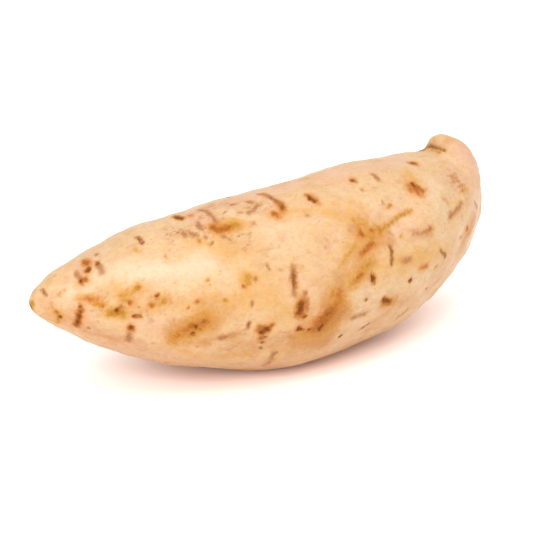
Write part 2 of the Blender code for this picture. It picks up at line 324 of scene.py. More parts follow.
CROWN_MARKS = (
    scar(2.0, 0.95, 351, 180.8, 353.5, 181.3), scratch(1.4, 0.7, 354, 181.5, 357.5, 183.5),
    smudge(2.0, 1.0, 371.5, 174.5, 375, 176, 378.5, 180), smudge(2.4, 0.9, 361.5, 190),
    smudge(2.0, 0.8, 383, 202), ochre(1.9, 0.9, 388, 207, 392.5, 205),
    rust(4.4, 1.0, 409, 161, 412.5, 162.5, 416.5, 163.5), scar(2.3, 1.0, 411.3, 161.8, 414.5, 163),
    rust(8.6, 1.0, 412.5, 184, 422, 190), ochre(5.0, 0.6, 413.5, 179, 417, 184),
    scar(1.8, 0.66, 415.6, 188.6, 417.5, 191), scar(2.9, 0.98, 413, 182.3, 415.8, 184.8),
    rust(3.0, 0.85, 418, 191, 418.5, 195), scar(2.2, 0.74, 420.2, 188.5, 421.5, 191.5),
    ochre(3.0, 0.62, 360, 224, 367, 223), rust(3.4, 0.72, 359.5, 227, 360.5, 235),
    ochre(3.8, 0.76, 370, 229.5, 374, 229, 379, 232), ochre(4.0, 0.74, 365, 236, 374, 238),
    ochre(2.6, 0.75, 375, 224, 380, 228), ochre(3.0, 0.7, 352, 218, 356, 222),
    rust(2.6, 0.95, 360.5, 232.5, 364, 236), ochre(5.8, 0.6, 364, 230, 376, 235),
    rust(3.2, 0.5, 366, 228, 375, 236), rust(2.4, 0.8, 371, 230, 374, 231),
    rust(2.2, 0.8, 380, 228, 381, 233),
    ochre(2.6, 0.92, 380, 232, 386, 226, 392, 222, 403, 214.5, 411, 211.5),
    rust(3.4, 0.9, 373, 243, 368, 248, 362, 253), ochre(3.4, 0.7, 356, 245, 347, 255, 341, 266),
    smudge(3.8, 0.76, 415, 233.5, 428, 231.5), smudge(3.2, 0.82, 424, 232, 430.5, 229),
    rust(2.4, 0.5, 426, 232, 430, 228.5), scar(1.8, 0.66, 429.5, 229),
    smudge(1.9, 0.74, 450.5, 175.5, 455.5, 174), smudge(1.9, 0.74, 451.5, 178.5, 456.5, 177),
    smudge(1.9, 0.74, 453.5, 182, 459.5, 180.8), smudge(1.9, 0.74, 458.5, 187, 464.5, 184.8),
    smudge(1.7, 0.62, 455, 176, 457, 180, 461, 184, 463, 189), ochre(2.2, 0.8, 461.5, 192, 466.5, 188.8),
    smudge(2.8, 0.85, 460, 203.5, 457.5, 208.5, 453.5, 213.5, 448.8, 218),
    smudge(2.6, 0.8, 450, 214, 448.5, 218.5), smudge(2.6, 0.58, 442, 198, 446, 200.5),
    rust(2.6, 0.8, 467, 227, 467.2, 230.5), scar(1.6, 0.7, 467.2, 230), smudge(2.8, 0.8, 461, 237.5),
    smudge(2.2, 0.8, 475, 202, 477.5, 208), smudge(2.6, 0.55, 443.8, 199.5, 448.5, 204.5),
    # The crease is a groove under the stub; its dark line and the smudge just under it are partly brown mark,
    # partly painted shade
    crease(1.9, 1.0, 426, 146, 433, 146.2, 440, 147.4, 446, 149.6),
    crease(2.3, 1.0, 429, 145.9, 440, 147.3), smudge(2.4, 0.6, 430, 148.5, 446, 152),
    ochre(1.8, 0.8, 432, 150.5, 442, 152.6),
)

# The lower right, where nothing shows how the skin goes on
COVERED_MARKS = (
    ochre(6.5, 0.85, 352, 284, 360, 272, 371, 262), rust(3.0, 0.85, 356, 279, 361, 274),
    scar(2.4, 0.95, 372, 276, 374, 281), scratch(1.9, 0.95, 391, 247, 393, 258, 392, 264),
    smudge(3.2, 0.85, 404, 262, 411, 259), rust(3.0, 0.8, 421, 268, 426, 266), pit(1.8, 0.95, 411, 281),
    scar(2.7, 0.95, 384, 300, 390, 303), ochre(5.0, 0.75, 382, 306, 396, 302), pit(1.5, 0.9, 366, 300),
    smudge(3.4, 0.85, 352, 318, 366, 313), scratch(1.6, 0.85, 360, 330, 369, 324), pit(1.5, 0.9, 341, 337),
    rust(2.0, 0.7, 402, 236), scratch(1.8, 0.85, 440, 250, 446, 256), ochre(3.2, 0.8, 437, 267),
    smudge(2.6, 0.75, 398, 318, 408, 310), pit(1.5, 0.85, 428, 290),
)

TINTS = (
    # The first three cream tints, on the upper side of the tail half, are a painted highlight
    cream(7.0, 0.8, 66, 291, 90, 287), cream(12.0, 1.0, 108, 276, 150, 272, 205, 266),
    cream(8.0, 1.15, 138, 276, 176, 270, 205, 266), cream(7.0, 0.7, 225, 275, 236, 290),
    cream(14.0, 0.7, 275, 225, 300, 232), cream(14.0, 0.9, 432, 185, 440, 208),
    # The cream at the right end's rim is painted rim sheen
    cream(8.0, 0.7, 345, 198, 362, 200), cream(7.0, 0.8, 474, 168, 479, 195),
    # The blush along the top edge is painted rim sheen
    cream(9.0, 0.66, 232, 214, 262, 218, 280, 250), blush(9.0, 0.9, 195, 214, 300, 183, 400, 160),
    blush(13.0, 0.7, 66, 318, 100, 335, 130, 345, 170, 356),
    # The first blush here, round the right end's rim, is painted rim sheen
    blush(9.0, 1.05, 462, 146, 474, 165, 478, 195, 468, 235), blush(8.0, 1.0, 188, 214, 208, 224),
    blush(8.0, 0.7, 395, 232, 398, 200), blush(9.0, 0.9, 150, 325, 166, 334),
    veil(4.5, 0.8, 79, 297, 98, 301), veil(9.0, 1.05, 118, 292, 130, 298),
    veil(8.0, 0.95, 122, 290, 142, 286), veil(9.0, 0.9, 108, 312, 128, 306, 166, 300),
    veil(9.0, 0.8, 175, 305, 205, 300, 222, 302), veil(10.0, 0.85, 195, 244, 218, 248, 244, 250),
    veil(7.0, 1.0, 247, 280, 257, 282), veil(12.0, 0.85, 332, 214, 352, 212, 372, 232, 348, 256),
    veil(7.0, 1.0, 224, 226, 240, 224), veil(6.0, 0.75, 176, 351, 215, 357, 242, 354),
    veil(18.0, 0.78, 210, 312, 250, 302, 288, 300), veil(7.0, 0.75, 270, 214, 320, 208),
    veil(4.5, 0.8, 54, 309, 62, 318), veil(9.0, 0.85, 414, 176, 410, 190),
    veil(11.0, 0.8, 380, 270, 410, 262, 440, 250),
    # The shade along the furrow and its hollow, the two low on the right of the belly and the one in the
    # hollow by the crown are partly brown stain, partly painted shade
    shade(11.0, 0.95, 380, 240, 362, 256, 345, 280, 336, 315, 330, 330),
    shade(13.0, 1.0, 178, 334, 192, 329, 207, 317), shade(12.0, 0.7, 230, 345, 290, 345),
    shade(15.0, 1.1, 296, 342, 318, 340, 332, 326, 334, 300),
    shade(9.0, 1.25, 316, 332, 325, 326, 331, 314), shade(9.0, 0.62, 435, 140, 454, 142),
    shade(12.0, 0.9, 354, 228, 378, 238), shade(8.0, 0.95, 206, 342, 216, 339, 232, 337),
    # The shade at the crown end's lower right, along the tail's lower side and along the top edge is painted
    # shade
    shade(9.0, 0.92, 474, 222, 464, 242), shade(12.0, 0.7, 56, 314, 84, 328, 130, 342),
    shade(6.0, 0.45, 230, 200, 300, 180, 330, 172), shade(12.0, 0.7, 380, 320, 410, 300),
    scurf(13.0, 1.0, 178, 232, 205, 226, 236, 236), scurf(9.0, 0.95, 190, 216, 214, 206, 258, 204),
    scurf(7.0, 0.8, 266, 202, 284, 216), scurf(8.0, 0.75, 80, 268, 86, 282),
    scurf(11.0, 0.9, 92, 304, 130, 306, 166, 301), scurf(12.0, 1.0, 178, 332, 206, 320),
    scurf(6.0, 0.9, 258, 338, 268, 340), scurf(8.0, 0.85, 303, 300, 303, 330, 325, 326),
    scurf(8.0, 0.9, 356, 226, 384, 232), scurf(7.0, 0.95, 450, 176, 458, 186, 466, 193),
    scurf(11.0, 0.45, 438, 158, 468, 168), scurf(12.0, 0.5, 436, 222, 462, 208),
    scurf(10.0, 0.5, 205, 346, 250, 344, 290, 350), scurf(8.0, 0.8, 118, 298, 142, 284),
    scurf(12.0, 0.55, 60, 312, 100, 334, 150, 348), scurf(12.0, 0.6, 170, 306, 215, 304, 240, 318),
    scurf(9.0, 0.5, 120, 350, 170, 356, 240, 362), scurf(8.0, 0.8, 356, 284, 372, 264),
    scurf(8.0, 0.8, 386, 302, 398, 306),
)


@dataclass(frozen=True)
class Scatter:
    """How many marks of a kind the sides out of the picture have, and their sizes."""

    kind: Kind
    count: int
    length_mm: tuple[float, float]
    width_mm: tuple[float, float]
    strength: tuple[float, float]


HIDDEN_MARKS = (
    Scatter(Kind.CREAM_AND_HIGHLIGHT, 8, (15.0, 40.0), (10.0, 16.0), (0.7, 1.0)),
    Scatter(Kind.BLUSH_AND_RIM_SHEEN, 9, (15.0, 40.0), (8.0, 14.0), (0.7, 1.0)),
    Scatter(Kind.VEIL, 14, (5.0, 25.0), (7.0, 13.0), (0.8, 1.0)),
    Scatter(Kind.SHADE_AND_BROWN, 7, (5.0, 25.0), (9.0, 14.0), (0.7, 1.0)),
    Scatter(Kind.SCURF, 15, (5.0, 25.0), (7.0, 13.0), (0.75, 1.0)),
    Scatter(Kind.OCHRE, 22, (0.0, 9.0), (2.4, 7.5), (0.6, 0.95)),
    Scatter(Kind.SMUDGE, 30, (0.0, 7.0), (1.6, 3.6), (0.6, 0.95)),
    Scatter(Kind.SCRATCH, 18, (1.0, 9.0), (1.4, 2.2), (0.7, 1.0)),
    Scatter(Kind.RUST, 26, (0.0, 5.0), (1.6, 5.0), (0.5, 0.95)),
    Scatter(Kind.SCAR, 20, (0.5, 5.0), (1.6, 3.2), (0.8, 1.0)),
    Scatter(Kind.PIT, 16, (0.0, 0.0), (1.3, 2.0), (0.85, 1.0)),
)


@dataclass(frozen=True)
class EndScar:
    """A mark near an end: how far along the root, its angle from the top, width and strength."""

    kind: Kind
    along: float
    around_deg: float
    width_mm: float
    strength: float


# Where the vine was cut from the stub, and where the root ran on from the tail
END_SCARS = (
    EndScar(Kind.SCAR, 0.950, 342.0, 7.0, 0.95),
    EndScar(Kind.RUST, 0.950, 342.0, 9.0, 0.9),
    EndScar(Kind.SCAR, 0.001, 60.0, 2.2, 0.85),
    EndScar(Kind.RUST, 0.003, 60.0, 3.6, 0.8),
)


@dataclass(frozen=True)
class Form:
    """How a kind of mark breaks into blobs and changes the skin's shape, in millimetres.

    cover is how closely the blobs lie, sink how deep the mark is, rim how high its edge is, stain how
    strongly it colours the skin round it, and least the fewest blobs that it breaks into.
    """

    blob_mm: float
    cover: float
    sink_mm: float
    rim_mm: float
    stain: float
    least: int = 3


FORMS = {
    Kind.OCHRE: Form(1.20, 1.7, 0.05, 0.00, 0.5),
    Kind.SMUDGE: Form(1.00, 1.8, 0.06, 0.00, 0.0),
    Kind.SCRATCH: Form(0.85, 2.0, 0.12, 0.03, 0.0),
    Kind.RUST: Form(1.10, 1.9, -0.08, 0.04, 0.8),
    Kind.CREASE: Form(0.90, 3.2, 1.00, 0.15, 0.4),
    Kind.SCAR: Form(0.95, 2.0, 0.26, 0.08, 0.9),
    Kind.PIT: Form(0.80, 2.2, 0.40, 0.10, 0.6, least=2),
}


@dataclass(frozen=True)
class Swell:
    """A soft swelling of the skin, or a dip, under a point of the picture."""

    pixel: Pixel
    radius_mm: float
    height_mm: float


# They round out the crown's stub, and fit the outline to the picture
SWELLS = (
    Swell((432, 141.5), 4.0, 1.5), Swell((443, 137.5), 5.0, 0.5), Swell((422.5, 146.5), 3.0, -1.0),
    Swell((474, 158), 7.5, 0.8), Swell((419, 149), 4.5, -1.3), Swell((486, 216), 8.0, -0.8),
    Swell((486, 234), 11.0, -1.5), Swell((110, 239), 13.0, -1.4), Swell((166, 214), 9.0, -0.8),
    Swell((118, 351), 14.0, -2.0), Swell((86, 340), 8.0, -0.9), Swell((52, 322), 10.0, -1.5),
    Swell((205, 202.5), 14.0, -0.7), Swell((315, 172), 12.0, -0.7), Swell((385, 156), 12.0, -0.8),
)


@dataclass(frozen=True)
class Ripple:
    """A layer of the skin's unevenness. A stretch under 1 draws it out along the root."""

    stretch: float
    wave: float
    octaves: int
    offset: float
    height_mm: float


# The last two run along the root
RIPPLES = (
    Ripple(1.00, 0.0280, 2, 5.0, 0.80),
    Ripple(1.00, 0.0090, 3, 9.0, 0.42),
    Ripple(0.16, 0.0026, 2, 17.0, 0.12),
    Ripple(0.50, 0.0050, 2, 61.0, 0.14),
)


@dataclass(frozen=True)
class Lattice:
    """The squares of a long box wrapped round the root: its side, and two bowed-out end caps."""

    cap_squares: int = 72
    side_squares: int = 262

    def squares(self) -> tuple[np.ndarray, np.ndarray]:
        """The box's surface grid.

        Returns:
            The grid points (along, high, wide), and the squares as rows of four point numbers.
        """
        size = (self.side_squares, self.cap_squares, self.cap_squares)
        numbers: dict[tuple[int, ...], int] = {}
        squares = []
        for axis in range(3):
            one, two = [k for k in range(3) if k != axis]
            for level in (0, size[axis]):
                for i in range(size[one]):
                    for j in range(size[two]):
                        square = []
                        for di, dj in ((0, 0), (1, 0), (1, 1), (0, 1)):
                            spot = [0, 0, 0]
                            spot[axis], spot[one], spot[two] = level, i + di, j + dj
                            square.append(numbers.setdefault(tuple(spot), len(numbers)))
                        squares.append(square if (axis == 1) == (level == 0) else square[::-1])
        return np.array(list(numbers)), np.array(squares)

    def rounded(self, grid: np.ndarray) -> tuple[np.ndarray, np.ndarray]:
        """How far out from the end's middle each grid point is, and its angle from the top.

        Args:
            grid: Grid points from squares().

        Returns:
            Shares from 0 at an end's middle to 1 on the side, and angles in radians.
        """
        a = 2 * grid[:, 1] / self.cap_squares - 1
        b = 2 * grid[:, 2] / self.cap_squares - 1
        high = a * np.sqrt(1 - b * b / 2)
        wide = b * np.sqrt(1 - a * a / 2)
        return np.hypot(high, wide), np.arctan2(wide, high)


@dataclass(frozen=True)
class Route:
    """A mark that lies on the skin: its kind, the points that it runs through, width and strength."""

    kind: Kind
    points: Points
    width: float
    strength: float

    def runs(self) -> np.ndarray:
        """The lengths of its pieces from point to point."""
        return np.linalg.norm(np.diff(self.points, axis=0), axis=1)

    def near(self, places: Points, reach: float) -> np.ndarray:
        """The numbers of the places within reach of its box."""
        inside = (places > self.points.min(0) - reach) & (places < self.points.max(0) + reach)
        return np.flatnonzero(inside.all(axis=1))

    def depth(self, places: Points) -> np.ndarray:
        """How deep some places are inside the mark, drawn as an even line.

        Args:
            places: The places, one row each.

        Returns:
            1 in the middle of the line, 0 at its edge, and less outside it.
        """
        distance = np.full(len(places), np.inf)
        for start, end in zip(self.points, self.points[1:] if len(self.points) > 1 else self.points):
            span = end - start
            share = np.clip((places - start) @ span / max(span @ span, TINY), 0, 1)
            distance = np.minimum(distance, np.linalg.norm(places - start - share[:, None] * span, axis=1))
        return 1 - distance / (self.width / 2)

    def blobs(self, draw: np.random.Generator) -> tuple[Points, np.ndarray]:
        """Breaks the mark into small blobs that merge into an uneven patch.

        Args:
            draw: Where the random sizes and places come from.

        Returns:
            The blobs' centres and radii.
        """
        form, width, runs = FORMS[self.kind], self.width, self.runs()
        length = runs.sum()
        radius = min(width / 2, form.blob_mm * MM)
        area = length * width + math.pi * width**2 / 4
        count = max(math.ceil(form.cover * area / (math.pi * radius**2)), form.least)
        shares = (np.arange(count) + draw.uniform(0, 1, count)) / count
        places = np.concatenate([[0], np.cumsum(runs)]) / max(length, 1e-9)
        centres = np.stack([np.interp(shares, places, self.points[:, k]) for k in range(3)], 1)
        spread = max(width / 2 - radius * BLOB_INSET, width * LEAST_SPREAD)
        scattered = draw.normal(0, 1, (count, 3))
        scattered *= (spread * draw.uniform(0, 1, count) ** 0.5 / np.linalg.norm(scattered, axis=1))[:, None]
        return centres + scattered, radius * draw.uniform(*BLOB_SIZES, count)


def merged(places: Points, centres: Points, radii: np.ndarray, crowd: float) -> np.ndarray:
    """How deep places are inside blobs that melt together, with a soft slope down to their edge.

    Args:
        places: The places, one row each.
        centres: The blobs' centres.
        radii: The blobs' radii.
        crowd: How many blobs must overlap to make the mark full.

    Returns:
        1 where the mark is full, 0 about at its edge, and less outside it.
    """
    total = np.full(len(places), TINY)
    for centre, radius in zip(centres, radii):
        total += np.exp(-BLOB_SLOPE * ((places - centre) ** 2).sum(1) / radius**2)
    return 1 - np.sqrt(np.maximum(-np.log(total / crowd), 0) / BLOB_SLOPE)


@dataclass
class SweetPotato:
    """The whole root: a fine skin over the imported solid, with its relief and its marks."""

    view: PictureView
    # How the skin is drawn over the solid
    lattice: Lattice = Lattice()
    tail_cap: float = 0.022
    crown_cap: float = 0.022
    tail_girth: float = 0.62
    crown_girth: float = 1.1
    slices: int = 90
    slice_margin: float = 0.006
    slice_reach: float = 0.004
    slice_rays: int = 24
    middle_rounds: int = 6
    smoothing_rounds: int = 26
    smoothing_step: float = 0.55
    swelling_step: float = 0.58
    # How marks are laid, and scattered over the sides out of the picture
    route_step_px: float = 4.0
    seed: int = 7
    nests: int = 11
    nest_share: float = 0.7
    nest_spread: float = 6.0 * MM
    hidden_facing: float = -0.15
    foot_height: float = 0.004
    lean: float = 0.5
    turn: float = 0.22
    # How the marks' edges wander, and how stains spread round them
    wander_offsets: tuple[float, float, float] = (3.0, 11.0, 23.0)
    drift_offsets: tuple[float, float, float] = (31.0, 41.0, 53.0)
    wander_wave: float = 0.0016
    wander_reach: float = 0.0006
    drift_wave: float = 0.009
    zone_drift: float = 0.3
    line_drift: float = 0.15
    line_depth: float = 0.95
    long_share: float = 0.8
    blob_reach: float = 1.6
    edge_reach: float = 0.003
    stain_shift: float = 0.35 * MM
    stain_growth: float = 1.5
    stain_edge: float = 0.6 * MM
    stain_crowd: float = 1.7
    # How the underside is veiled near the table
    contact_heights: tuple[float, float] = (0.001, 0.010)
    contact_drift: float = 0.003
    # How the skin is raised and sunk
    ring_wave: float = 0.0022
    ring_offset: float = 29.0
    ring_stretch: float = 0.25
    tail_rings: tuple[float, float] = (0.004, 0.030)
    crown_rings: tuple[float, float] = (0.006, 0.034)
    tail_ring_mm: float = 0.06
    crown_ring_mm: float = 0.07
    sink_fields: tuple[float, float] = (-0.1, 0.9)
    rim_field: float = -0.2
    rim_spread: float = 0.3
    outside: float = -0.99
    ragged_wave: float = 0.0012
    ragged_offset: float = 37.0
    ragged_share: float = 0.5
    bare_height: float = 0.0004

    def __post_init__(self) -> None:
        """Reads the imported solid, which the skin is drawn over, and finds its middle line."""
        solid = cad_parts[NODE].data
        self.corners = np.array([v.co for v in solid.vertices])
        faces = [p.vertices for p in solid.polygons]
        self.solid = BVHTree.FromPolygons([tuple(c) for c in self.corners], faces)
        self.low, self.high = self.corners[:, 0].min(), self.corners[:, 0].max()
        self.routes: list[Route] = []
        self.find_middles()

    def find_middles(self) -> None:
        """Finds the middle of the solid at many places along it."""
        places = np.linspace(self.low + self.slice_margin, self.high - self.slice_margin, self.slices)
        angles = np.linspace(0, 2 * math.pi, self.slice_rays, endpoint=False)
        middles = []
        for x in places:
            near = self.corners[np.abs(self.corners[:, 0] - x) < self.slice_reach]
            guess = Vector((x, *(near[:, 1:].min(0) + near[:, 1:].max(0)) / 2))
            hits = [self.solid.ray_cast(guess, Vector((0, math.sin(a), math.cos(a))))[0] for a in angles]
            middles.append(np.mean([hit[1:] for hit in hits if hit is not None], axis=0))
        middles = np.array(middles)
        for _ in range(self.middle_rounds):
            middles[1:-1] = (middles[:-2] + 2 * middles[1:-1] + middles[2:]) / 4
        self.places, self.middles = places, middles

    def middle_at(self, x: float) -> Vector:
        """The middle of the solid at one place along it."""
        return Vector((x, *(float(np.interp(x, self.places, self.middles[:, k])) for k in (0, 1))))

    def draw_skin(self) -> None:
        """Wraps the lattice round the solid."""
        grid, self.squares = self.lattice.squares()
        out, angle = self.lattice.rounded(grid)
        length = self.high - self.low - self.tail_cap - self.crown_cap
        side = self.low + self.tail_cap + length * grid[:, 0] / self.lattice.side_squares
        self.points = np.empty((len(grid), 3))
        for n, x in enumerate(side):
            at_tail = grid[n, 0] == 0
            cap = self.tail_cap if at_tail else self.crown_cap
            girth = cap * (self.tail_girth if at_tail else self.crown_girth)
            lean = (1 - out[n]) * math.pi / 2
            way = Vector((
                (-cap if at_tail else cap) * math.sin(lean),
                -girth * math.cos(lean) * math.sin(angle[n]),
                girth * math.cos(lean) * math.cos(angle[n]),
            ))
            self.points[n] = self.solid.ray_cast(self.middle_at(x), way.normalized())[0]

    def smooth(self) -> None:
        """Eases away the facets of the solid. Each round eases and then swells, to keep the girth."""
        ends = np.concatenate([self.squares[:, [k, (k + 1) % 4]] for k in range(4)])
        start, end = ends[:, 0], ends[:, 1]
        size = len(self.points)
        count = np.bincount(start, minlength=size)[:, None]
        for step in (self.smoothing_step, -self.swelling_step) * self.smoothing_rounds:
            total = np.stack([np.bincount(start, self.points[end, k], size) for k in range(3)], 1)
            self.points = self.points + step * (total / count - self.points)

    def settle(self) -> None:
        """Works out the directions out of the skin, and its surface for rays."""
        corner = [self.points[self.squares[:, k]] for k in range(4)]
        across = np.cross(corner[2] - corner[0], corner[3] - corner[1])
        total = np.zeros_like(self.points)
        for k in range(4):
            for axis in range(3):
                total[:, axis] += np.bincount(self.squares[:, k], across[:, axis], len(total))
        self.normals = total / np.linalg.norm(total, axis=1, keepdims=True)
        self.skin = BVHTree.FromPolygons([tuple(p) for p in self.points], self.squares.tolist())

    def swell(self) -> None:
        """Moves the skin out at the swellings and in at the dips."""
        lift = np.zeros(len(self.points))
        for swell in SWELLS:
            centre = np.array(self.view.on_skin(swell.pixel, self.skin))
            distance = np.linalg.norm(self.points - centre, axis=1) / (swell.radius_mm * MM)
            lift += swell.height_mm * MM * np.exp(-(distance**2))
        self.points = self.points + self.normals * lift[:, None]

    def add_route(self, kind: Kind, line: list[Vector], width: float, strength: float) -> None:
        """Adds one mark that lies on the skin."""
        self.routes.append(Route(kind, np.array(line), width, strength))

    def add_picture_routes(self) -> None:
        """Lays the picture's marks on the skin."""
        for mark in TAIL_MARKS + SHOULDER_MARKS + BELLY_MARKS + CROWN_MARKS + COVERED_MARKS + TINTS:
            stops = [mark.route_px[0]]
            for start, end in zip(mark.route_px, mark.route_px[1:]):
                steps = max(1, round(math.dist(start, end) / self.route_step_px))
                for k in range(1, steps + 1):
                    stops.append(tuple(s + (e - s) * k / steps for s, e in zip(start, end)))
            line = [self.view.on_skin(stop, self.skin) for stop in stops]
            self.add_route(mark.kind, line, mark.width_mm * MM, mark.strength)

    def add_hidden_routes(self) -> None:
        """Scatters marks over the sides that the picture doesn't show, with most spots in nests."""
        draw = np.random.default_rng(self.seed)
        points, normals = self.points, self.normals
        toward = np.array(self.view.place()) - points
        facing = (toward * normals).sum(1) / np.linalg.norm(toward, axis=1)
        hidden = np.flatnonzero((facing < self.hidden_facing) & (points[:, 2] > self.foot_height))
        nests = points[hidden[draw.integers(len(hidden), size=self.nests)]]
        for scatter in HIDDEN_MARKS:
            is_zone = scatter.kind in ZONES
            for _ in range(scatter.count):
                first = hidden[draw.integers(len(hidden))]
                if not is_zone and draw.random() < self.nest_share:
                    nest = nests[draw.integers(self.nests)] + draw.normal(0, self.nest_spread, 3)
                    first = hidden[np.linalg.norm(points[hidden] - nest, axis=1).argmin()]
                around = np.cross(normals[first], ALONG)
                way = around / np.linalg.norm(around) + (draw.normal(0, self.lean), 0, 0)
                if is_zone:
                    way = np.array(ALONG)
                length = draw.uniform(*scatter.length_mm) * MM
                steps = max(1, round(length / MM))
                line = [Vector(points[first])]
                for _ in range(steps):
                    way = way / np.linalg.norm(way) + draw.normal(0, self.turn, 3)
                    step = Vector(way).normalized() * (length / steps)
                    line.append(self.skin.find_nearest(line[-1] + step)[0])
                width = draw.uniform(*scatter.width_mm) * MM
                self.add_route(scatter.kind, line, width, draw.uniform(*scatter.strength))

    def add_end_routes(self) -> None:
        """Lays the scars of the two ends on the skin."""
        for end in END_SCARS:
            middle = self.middle_at(self.low + end.along * (self.high - self.low))
            angle = math.radians(end.around_deg)
            way = Vector((0.0, -math.sin(angle), math.cos(angle)))
            spot = self.skin.ray_cast(middle, way)[0] or self.skin.find_nearest(middle)[0]
            self.add_route(end.kind, [spot], end.width_mm * MM, end.strength)

    def waves(self, wave: float, offsets: tuple[float, ...]) -> Points:
        """Smooth noise over the skin, with one column for each offset."""
        return np.stack([cloud(self.points, wave, 2, offset) for offset in offsets], 1)

    def lay_marks(self) -> None:
        """Works out how deep inside each kind of mark the points of the skin lie.

        A field is 1 in the middle of a strong mark, 0 at its edge and -1 well away from it.
        """
        draw = np.random.default_rng(self.seed + 1)
        wander = self.waves(self.wander_wave, self.wander_offsets) * self.wander_reach
        drift = self.waves(self.drift_wave, self.drift_offsets)
        self.fields = {kind: np.full(len(self.points), -1.0) for kind in Kind}
        for route in self.routes:
            kind, width, strength = route.kind, route.width, route.strength
            if kind in ZONES or kind == Kind.CREASE:
                bent = self.points + drift * (width * self.zone_drift)
                near = route.near(bent, width)
                self.deepen(kind, near, route.depth(bent[near]), strength)
                continue
            form = FORMS[kind]
            bent = self.points + wander
            centres, radii = route.blobs(draw)
            near = route.near(bent, width * self.blob_reach + self.edge_reach)
            inside = merged(bent[near], centres, radii, form.cover)
            if route.runs().sum() > width * self.long_share:
                line = route.depth(bent[near] + drift[near] * (width * self.line_drift))
                inside = np.maximum(inside, line * self.line_depth)
            self.deepen(kind, near, inside, strength)
            lean = centres + draw.normal(0, self.stain_shift, 3)
            grown = radii * self.stain_growth + self.stain_edge
            stained = merged(bent[near], lean, grown, form.cover * self.stain_crowd)
            self.deepen(Kind.STAIN, near, stained, strength * form.stain)
        height = self.points[:, 2] + drift[:, 0] * self.contact_drift
        under = 1 - smooth_step(height, *self.contact_heights)
        self.fields[Kind.VEIL] = np.maximum(self.fields[Kind.VEIL], under * 2.0 - 1)

    def deepen(self, kind: Kind, near: np.ndarray, inside: np.ndarray, strength: float) -> None:
        """Raises a kind's field where a mark of some strength is deeper than what is there."""
        field = self.fields[kind]
        field[near] = np.maximum(field[near], (np.clip(inside, -1, 1) + 1) * strength - 1)

    def raise_relief(self) -> None:
        """Moves the skin in and out, for its unevenness and its marks. The foot stays flat at 0."""
        points = self.points
        lift = np.zeros(len(points))
        for ripple in RIPPLES:
            drawn = points * (ripple.stretch, 1.0, 1.0)
            lift += cloud(drawn, ripple.wave, ripple.octaves, ripple.offset) * ripple.height_mm
        x = points[:, 0]
        near_tail = 1 - smooth_step(x - x.min(), *self.tail_rings)
        near_crown = 1 - smooth_step(x.max() - x, *self.crown_rings)
        wrapped = points * (1.0, self.ring_stretch, self.ring_stretch)
        rings = cloud(wrapped, self.ring_wave, 2, self.ring_offset)
        lift += rings * (self.tail_ring_mm * near_tail + self.crown_ring_mm * near_crown)
        rough = 1 + self.ragged_share * cloud(points, self.ragged_wave, 2, self.ragged_offset)
        for kind, form in FORMS.items():
            field = self.fields[kind]
            lift -= form.sink_mm * smooth_step(field, *self.sink_fields) * rough
            off = (field - self.rim_field) / self.rim_spread
            lift += form.rim_mm * np.exp(-(off**2)) * (field > self.outside)
        hold = smooth_step(points[:, 2], self.bare_height, self.foot_height)
        self.points = points + self.normals * (lift * hold * MM)[:, None]
        self.points[:, 2] = np.maximum(self.points[:, 2], 0.0)

    def build(self) -> None:
        """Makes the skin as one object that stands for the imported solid."""
        self.draw_skin()
        self.smooth()
        self.settle()
        self.swell()
        self.settle()
        self.add_picture_routes()
        self.add_hidden_routes()
        self.add_end_routes()
        self.lay_marks()
        self.raise_relief()
        mesh = bpy.data.meshes.new(SKIN)
        mesh.from_pydata(self.points.tolist(), [], self.squares.tolist())
        mesh.validate()
        mesh.shade_smooth()
        for kind, field in self.fields.items():
            attribute = mesh.attributes.new(kind.value, "FLOAT", "POINT")
            attribute.data.foreach_set("value", field.astype(np.float32))
        mesh.materials.append(SkinFinish().material())
        piece = put(SKIN, mesh)
        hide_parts(NODE)
        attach(piece, "root")
        log.info("skin: %d points, %d squares, %d marks", *map(len, (self.points, self.squares, self.routes)))


